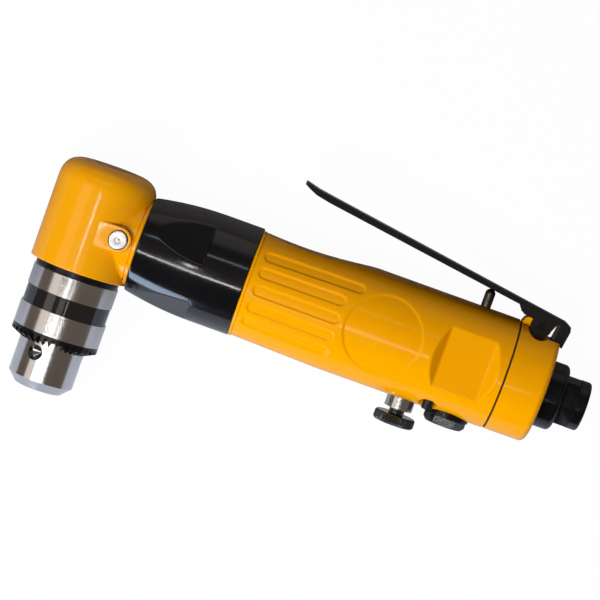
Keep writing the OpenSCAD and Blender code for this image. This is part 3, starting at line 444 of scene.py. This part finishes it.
class DRILL_OT_angle_head(bpy.types.Operator):
    """Casts the angle head with its neck blended in, the pad, the rim and the grease fitting"""
    bl_idname = "drill.angle_head"
    bl_label = "Angle Head"

    def execute(self, context):
        s = context.scene.drill_head
        drop, top, face = HEAD_LOW.y, HEAD_HIGH.y, NUT_LOW.x
        bore, inner, rim_length = 8.0, 9.0, 2.2
        outline = [(drop, bore), (drop, s.radius), (top, s.radius), (top, 0.0)]
        outline = spaced(rounded(outline, [0, 0.5, s.crown, 0], 16), 0.45)
        bm = lathe(outline, "Y", 360)
        for v in bm.verts:
            r = math.hypot(v.co.x, v.co.z)
            if r < inner or v.co.x < 0.5 or abs(v.co.y) > s.neck + 1.0:
                continue
            cos, sin = v.co.x / r, abs(v.co.z) / r
            half = math.sqrt(max(s.neck ** 2 - v.co.y ** 2, 0.01))
            neck = min(face / cos, half / max(sin, 1e-4))
            grown = smooth_max(r, neck, s.blend)
            if grown > r:
                v.co.x *= grown / r
                v.co.z *= grown / r
                v.co.x = min(v.co.x, face - rim_length)
        finish_piece("head_casting", bm, "head_enamel", "tool", ["angle_head"], 40.0)

        floor = s.neck - s.groove
        rim = lathe(rounded([(face - 2.6, s.neck - 0.5), (face - 2.5, s.neck + 0.02),
                             (face - 1.75, s.neck + 0.02), (face - 1.7, floor), (face - 1.4, floor),
                             (face - 1.35, s.neck + 0.5), (face - 0.25, s.neck + 0.5),
                             (face, s.neck + 0.25), (face, s.neck - 3.0)], 0.08), "X", 240)
        finish_piece("neck_rim", rim, "head_enamel", "tool", [])

        on_pad = Matrix.Translation((FITTING_MID.x, 0, 0)) @ Matrix.Rotation(-math.pi / 2, 4, "Y")
        height, z = s.radius - 0.25, FITTING_HIGH.z
        r = (FITTING_HIGH.x - FITTING_LOW.x) / 2
        root, hole, pad_front = 12.0, r + 0.3, 2.5
        pad = lathe(rounded([(root, s.pad), (height, s.pad), (height, hole), (height - 1.5, hole)],
                            [0, 0.7, 0.12, 0], 6), "X", 144)
        bmesh.ops.transform(pad, matrix=on_pad, verts=pad.verts)
        for v in pad.verts:
            if v.co.x < FITTING_MID.x - 0.01 and math.hypot(v.co.x - FITTING_MID.x, v.co.y) > r + 0.5:
                v.co.x -= FITTING_MID.x - pad_front
        finish_piece("fitting_pad", pad, "head_enamel", "tool", [])

        nipple = lathe(rounded([(z - 4.0, r), (z - 0.2, r), (z, r - 0.25), (z, 1.25), (z - 0.9, 1.1),
                                (z - 0.9, 0.55), (z - 0.15, 0.4), (z - 0.1, 0.0)], 0.06), "X", 96)
        bmesh.ops.transform(nipple, matrix=on_pad, verts=nipple.verts)
        finish_piece("grease_nipple", nipple, "fitting_steel", "tool", ["grease_fitting"])
        smooth_copy("bearing_cap", "black_oxide", "tool")
        return {"FINISHED"}


class DRILL_OT_coupling_nut(bpy.types.Operator):
    """Turns the coupling nut and cuts its four wrench flats"""
    bl_idname = "drill.coupling_nut"
    bl_label = "Coupling Nut"

    def execute(self, context):
        s = context.scene.drill_nut
        x0, x1 = NUT_LOW.x, NUT_HIGH.x
        rise = s.rear - s.front
        curve = (s.taper ** 2 + rise ** 2) / (2 * rise)

        def radius(x):
            back = max(s.taper - (x - x0), 0.0)
            return s.rear - curve + math.sqrt(curve ** 2 - back ** 2)

        count, front_bore, rear_bore, inner = 92, 14.0, 17.0, 16.0
        places = [x0 + 0.35 + (x1 - x0 - 0.7) * k / count for k in range(count + 1)]
        outline = [(x0, front_bore), (x0, radius(x0) - 0.4), (x0 + 0.12, radius(x0) - 0.12)]
        outline += [(x, radius(x)) for x in places]
        outline += [(x1 - 0.12, s.rear - 0.12), (x1, s.rear - 0.4), (x1, rear_bore)]
        bm = lathe(outline, "X", 300)
        for v in bm.verts:
            r = math.hypot(v.co.y, v.co.z)
            depth = 1.0 - ease((v.co.x - x0 - s.flat_end + 0.25) / 0.5)
            if r < inner or depth <= 0.0:
                continue
            turn = math.degrees(math.atan2(v.co.z, v.co.y)) - (90.0 - s.turn)
            near = (turn + 45.0) % 90.0 - 45.0
            cut = smooth_min(r, s.flat / math.cos(math.radians(near)), 0.22)
            new = r + (cut - r) * depth
            v.co.y *= new / r
            v.co.z *= new / r
        finish_piece("coupling", bm, "black_paint", "tool", ["coupling_nut"], 40.0)
        return {"FINISHED"}


class DRILL_OT_housing(bpy.types.Operator):
    """Casts the motor housing with its waist, grip grooves, round recesses, side flats and scallop"""
    bl_idname = "drill.housing"
    bl_label = "Motor Housing"

    def execute(self, context):
        s = context.scene.drill_housing
        x0, x1 = NUT_HIGH.x, GASKET_LOW.x
        lip, front_bore, rear_bore, inner = 1.3, 15.0, 12.0, 16.0
        fine_step, plain_step, crowding = 0.36, 0.5, 0.22
        places = []
        x = lip + 0.5
        while x < x1 - x0 - 0.4:
            places.append(x)
            detailed = x < s.disc_at + s.disc + 1.0 or abs(x + x0 - LOCK_MID.x) < 5.0
            x += fine_step if detailed else plain_step
        outline = [(x0, front_bore), (x0, s.front + 0.1), (x0 + 0.3, s.front + 0.4),
                   (x0 + lip - 0.3, s.front + 0.4), (x0 + lip, s.front)]
        outline += [(x0 + p, s.front + (s.radius - s.front) * min((p - lip) / s.flare, 1.0)) for p in places]
        outline += [(x1 - 0.25, s.radius), (x1, s.radius - 0.3), (x1, rear_bore)]
        bm = lathe(outline, "X", 356)
        for v in bm.verts:
            r = math.hypot(v.co.y, v.co.z)
            turn = math.atan2(v.co.y, v.co.z)
            turn -= crowding * math.sin(2.0 * turn)
            up, out = math.sin(turn), math.cos(turn)
            if r > inner:
                r = self.radius(s, v.co.x - x0, up, out, r)
            v.co.y, v.co.z = up * r, out * r
        finish_piece("housing_casting", bm, "orange_enamel", "tool", ["motor_housing"], 50.0)
        smooth_copy("end_cap", "orange_enamel", "tool")
        smooth_copy("gasket", "seal_rubber", "tool")
        smooth_copy("lock_pin", "polished_oxide", "tool")
        return {"FINISHED"}

    def radius(self, s, x, up, out, r):
        """Radius of the casting at x from its front; up and out are the sine and cosine of the place."""
        side = abs(out)
        if up > 0.2:
            sag = s.waist_curve - math.sqrt(s.waist_curve ** 2 - min(x - s.waist_at, 100.0) ** 2)
            r = smooth_min(r, (s.waist + sag) / up, 0.5)
        if side > 0.3:
            past = max(s.flat_at - x, x - s.flat_at - s.flat_length)
            rise = (s.radius - s.flat_height) * past / s.flat_slope
            r = smooth_min(r, (s.flat_height + smooth_max(rise, 0.0, 0.2)) / side, 0.15)
            angle = math.degrees(math.atan2(up, side))
            middle = (s.grooves - 1) / 2
            i = min(max(round(middle - angle / s.groove_step), 0), s.grooves - 1)
            along = math.radians(angle - (middle - i) * s.groove_step) * r
            end = s.groove_start + s.groove_length + (s.groove_more if i == 0 else 0.0) - s.groove_width / 2
            past = max(s.groove_start + s.groove_width / 2 - x, x - end, 0.0)
            r -= s.groove_depth * ease((s.groove_width / 2 - math.hypot(past, along)) / 0.9)
            r -= s.disc_depth * ease((s.disc - math.hypot(x - s.disc_at, up * r)) / 0.6 + 0.5)
        if up < -0.5:
            x_lock, scallop_depth = LOCK_MID.x - NUT_HIGH.x, 4.6
            away = math.hypot(x - x_lock, out * r - LOCK_MID.z)
            r += (min(r, (s.radius - scallop_depth) / -up) - r) * ease((s.scallop - away) / 0.6 + 0.5)
        return r


class DRILL_OT_chuck(bpy.types.Operator):
    """Finishes the keyed chuck: body, bands, sleeve, toothed ring, nut and jaws"""
    bl_idname = "drill.chuck"
    bl_label = "Keyed Chuck"

    def execute(self, context):
        smooth_copy("chuck_body", "chuck_steel", "spindle_unit")
        smooth_copy("chuck_sleeve", "chuck_steel", "sleeve_unit")
        smooth_copy("chuck_band", "polished_oxide", "sleeve_unit")
        smooth_copy("tooth_ring", "black_oxide", "sleeve_unit")
        smooth_copy("chuck_nut", "gear_steel", "sleeve_unit")
        for node, body in (("jaw_1", "jaw_a"), ("jaw_2", "jaw_b"), ("jaw_3", "jaw_c")):
            smooth_copy(node, "gear_steel", body)
        return {"FINISHED"}


class DRILL_OT_controls(bpy.types.Operator):
    """Finishes the lever, valve pin, plug, regulator and air inlet"""
    bl_idname = "drill.controls"
    bl_label = "Controls and Inlet"

    def execute(self, context):
        s = context.scene.drill_knob
        self.lever()
        smooth_copy("lever_pivot", "black_oxide", "tool")
        smooth_copy("valve_pin", "dark_steel", "valve_unit")
        smooth_copy("valve_plug", "polished_oxide", "tool", turn=-3.1)
        smooth_copy("plug_washer", "black_oxide", "tool")
        smooth_copy("regulator_bush", "chuck_steel", "tool")
        smooth_copy("inlet_bushing", "black_oxide", "tool")
        smooth_copy("valve_bush", "bronze", "tool")
        low = KNOB_LOW.y
        edge, back, stem, stem_end = 0.6, low + 3.9, 3.0, low + 8.0
        outline = spaced(rounded([(low, 0.0), (low, s.radius - edge), (low + edge, s.radius),
                                  (low + 3.3, s.radius), (back, s.radius - edge), (back, stem),
                                  (stem_end, stem), (stem_end, 0.0)], 0.25), 0.5)
        bm = lathe(outline, "Y", s.knurls * 6)
        for v in bm.verts:
            r = math.hypot(v.co.x, v.co.z)
            if r > s.radius - 0.5:
                turn = math.atan2(v.co.z, v.co.x) * s.knurls
                new = r - s.depth * (0.5 + 0.5 * math.cos(turn)) ** 2
                v.co.x *= new / r
                v.co.z *= new / r
        bmesh.ops.translate(bm, verts=bm.verts, vec=(KNOB_MID.x, 0, 0))
        finish_piece("regulator_knob", bm, "polished_oxide", "regulator",
                     ["regulator_screw"], 50.0)
        return {"FINISHED"}

    def lever(self):
        """The lever, its bar a little deeper toward the tip, which droops."""
        bm = joined_copy("lever")
        bm.normal_update()
        low, high = span("lever")
        droop, tip = 0.7, 14.0
        deeper, ear, fade = 0.6, 32.0, 60.0
        for v in bm.verts:
            x = (v.co.x - CROSSING.x) / MM - low.x
            drop = droop * ease((tip - x) / tip)
            if v.normal.y < -0.3:
                drop += deeper * ease((high.x - low.x - ear - x) / fade)
            v.co.y -= drop * MM
        finish_piece("dressed_lever", bm, "black_paint", "throttle_lever", ["lever"], 28.0,
                     in_mm=False)


class DRILL_OT_stage(bpy.types.Operator):
    """Sets the pale floor, the studio light and the camera"""
    bl_idname = "drill.stage"
    bl_label = "Stage"

    def execute(self, context):
        s = context.scene.drill_stage
        scene = context.scene
        scene.view_settings.view_transform = "Standard"
        self.floor()
        self.world(scene)
        warm, plain, cool = (1.0, 0.93, 0.86), (1.0, 1.0, 1.0), (0.80, 0.90, 1.0)
        self.lamp("key_panel", (-0.25, -0.38, 0.98), 0.60, 0.60, 8.4, plain, False)
        self.lamp("long_strip", (-0.18, -0.243, 1.0), 0.76, 0.045, 17.0, plain, turn=-2.0)
        self.lamp("chuck_strip", (0.035, -0.16, 1.0), 0.026, 0.10, 6.0, plain)
        self.lamp("head_strip", (-0.185, -0.055, 1.0), 0.05, 0.06, 26.0, plain)
        self.lamp("rear_strip", (-0.18, 0.57, 1.0), 0.76, 0.06, 2.6, cool)
        self.lamp("ceiling_panel", (-0.21, -0.155, 1.0), 0.28, 0.07, 1.0, warm)
        self.lamp("beige_card", (-0.75, -0.10, 0.80), 0.45, 0.40, 1.0, warm)
        self.lamp("low_window", (-0.48, -0.90, 0.16), 0.80, 0.32, 7.5, (0.60, 0.76, 1.0))
        camera = bpy.data.cameras.new("photo_camera")
        camera.lens = s.lens
        camera.sensor_width = 36.0
        camera.clip_start = 0.05
        eye = bpy.data.objects.new("photo_camera", camera)
        turn = (Matrix.Rotation(math.radians(s.roll), 4, "Z") @ Matrix.Rotation(math.radians(s.pitch), 4, "X")
                @ Matrix.Rotation(math.radians(s.yaw), 4, "Y")).transposed()
        eye.matrix_world = (Matrix.Translation(CROSSING + Vector(s.aim) * MM) @ turn
                            @ Matrix.Translation((0.0, 0.0, s.distance)))
        scene.collection.objects.link(eye)
        scene.camera = eye
        return {"FINISHED"}

    def floor(self):
        bm = bmesh.new()
        bmesh.ops.create_circle(bm, cap_ends=True, segments=96, radius=1.6)
        mesh = bpy.data.meshes.new("floor")
        bm.to_mesh(mesh)
        bm.free()
        floor = bpy.data.objects.new("floor", mesh)
        bpy.context.scene.collection.objects.link(floor)
        f = finish_named("pale_floor")
        rays = f.node("LightPath")
        larger = {"operation": "MAXIMUM"}
        mirrored = f.node("Math", larger, {0: rays["Is Glossy Ray"], 1: rays["Is Transmission Ray"]})[0]
        seen = f.node("Math", larger, {0: rays["Is Camera Ray"] * 0.97, 1: mirrored * 0.85})[0]
        # Glossy rays see a painted reflection across the floor: painted bluish window light on the -Y side, a
        # painted shadow band just past the tool on the +Y side, and painted shade further on; camera rays see
        # it white
        across = f.node("SeparateXYZ", None, {0: f.node("TexCoord")["Object"]})["Y"]
        painted_window_blue, painted_shadow, painted_far_shade = (0.64, 0.70, 0.84), (0.06, 0.055, 0.05), (0.20, 0.18, 0.17)
        stops = [(0.0, painted_window_blue), (0.37, painted_window_blue), (0.54, painted_shadow), (0.61, painted_shadow), (0.72, painted_far_shade), (1.0, painted_far_shade)]
        painted_reflection = f.node("ValToRGB", {"stops": stops}, {"Fac": across * 2.5 + 0.5})["Color"]
        tint = f.node("Mix", {"data_type": "RGBA"},
                      {0: rays["Is Camera Ray"], 6: painted_reflection, 7: (1.0, 1.0, 1.0, 1.0)})[2]
        matte = f.node("BsdfDiffuse", None, {"Color": (0.8, 0.8, 0.8, 1.0)})["BSDF"]
        glow = f.node("Emission", None, {"Color": tint, "Strength": 1.0})["Emission"]
        f.end(f.node("MixShader", None, {0: seen, 1: matte, 2: glow})["Shader"])
        mesh.materials.append(FINISHES["pale_floor"])

    def world(self, scene):
        world = bpy.data.worlds.new("studio")
        world.use_nodes = True
        scene.world = world
        f = Finish(world.node_tree)
        rays = f.node("LightPath")
        way = f.node("SeparateXYZ", None, {0: f.node("TexCoord")["Generated"]})
        level = way["Y"] * 0.5 + 0.5
        stops = [(0.0, (0.02, 0.02, 0.024)), (0.36, (0.02, 0.02, 0.022)), (0.44, (0.20, 0.165, 0.135)),
                 (0.72, (0.10, 0.09, 0.085)), (0.90, (0.08, 0.07, 0.07)), (0.95, (0.42, 0.38, 0.37)),
                 (1.0, (0.50, 0.45, 0.44))]
        room = f.node("ValToRGB", {"stops": stops}, {"Fac": level})["Color"]
        lit = f.node("Background", None, {"Color": room, "Strength": 0.35})["Background"]
        mirrored = f.node("Background", None, {"Color": room, "Strength": 1.0})["Background"]
        dim = f.node("MixShader", None, {0: rays["Is Glossy Ray"], 1: lit, 2: mirrored})["Shader"]
        white = f.node("Background", None, {"Color": (1.0, 1.0, 1.0, 1.0), "Strength": 1.0})["Background"]
        both = f.node("MixShader", None, {0: rays["Is Camera Ray"], 1: dim, 2: white})["Shader"]
        f.node("OutputWorld", None, {"Surface": both})

    def lamp(self, name, place, width, height, level, colour, mirrored=True, turn=0.0):
        """A panel facing the tool, its width along the motor, with the level of light of its surface."""
        light = bpy.data.lights.new(name, "AREA")
        light.shape = "RECTANGLE"
        light.size = width
        light.size_y = height
        light.energy = level * math.pi * width * height
        light.color = colour
        lamp = bpy.data.objects.new(name, light)
        back = (Vector(place) - Vector((0.0, 0.0, 0.02))).normalized()
        side = Vector((math.cos(math.radians(turn)), math.sin(math.radians(turn)), 0.0))
        side = (side - back * side.dot(back)).normalized()
        facing = Matrix((side, back.cross(side), back)).transposed().to_4x4()
        lamp.matrix_world = Matrix.Translation(place) @ facing
        lamp.visible_glossy = mirrored
        bpy.context.scene.collection.objects.link(lamp)


class DRILL_PT_panel(bpy.types.Panel):
    """Lists the drill's pieces"""
    bl_idname = "DRILL_PT_panel"
    bl_label = "Right Angle Air Drill"
    bl_space_type = "VIEW_3D"
    bl_region_type = "UI"
    bl_category = "Drill"

    def draw(self, context):
        for operator in OPERATORS:
            self.layout.operator(operator.bl_idname)


GROUPS = {"drill_head": HeadSizes, "drill_nut": NutSizes, "drill_housing": HousingSizes,
          "drill_knob": KnobSizes, "drill_colours": FinishColours, "drill_stage": StageSizes}
OPERATORS = (DRILL_OT_finishes, DRILL_OT_angle_head, DRILL_OT_coupling_nut, DRILL_OT_housing, DRILL_OT_chuck,
             DRILL_OT_controls, DRILL_OT_stage)


def register():
    for name, group in GROUPS.items():
        bpy.utils.register_class(group)
        setattr(bpy.types.Scene, name, PointerProperty(type=group))
    for operator in OPERATORS:
        bpy.utils.register_class(operator)
    bpy.utils.register_class(DRILL_PT_panel)


def unregister():
    bpy.utils.unregister_class(DRILL_PT_panel)
    for operator in reversed(OPERATORS):
        bpy.utils.unregister_class(operator)
    for name, group in GROUPS.items():
        delattr(bpy.types.Scene, name)
        bpy.utils.unregister_class(group)


def main():
    register()
    bpy.ops.drill.finishes()
    bpy.ops.drill.angle_head()
    bpy.ops.drill.coupling_nut()
    bpy.ops.drill.housing()
    bpy.ops.drill.chuck()
    bpy.ops.drill.controls()
    bpy.ops.drill.stage()


if __name__ == "__main__":
    main()
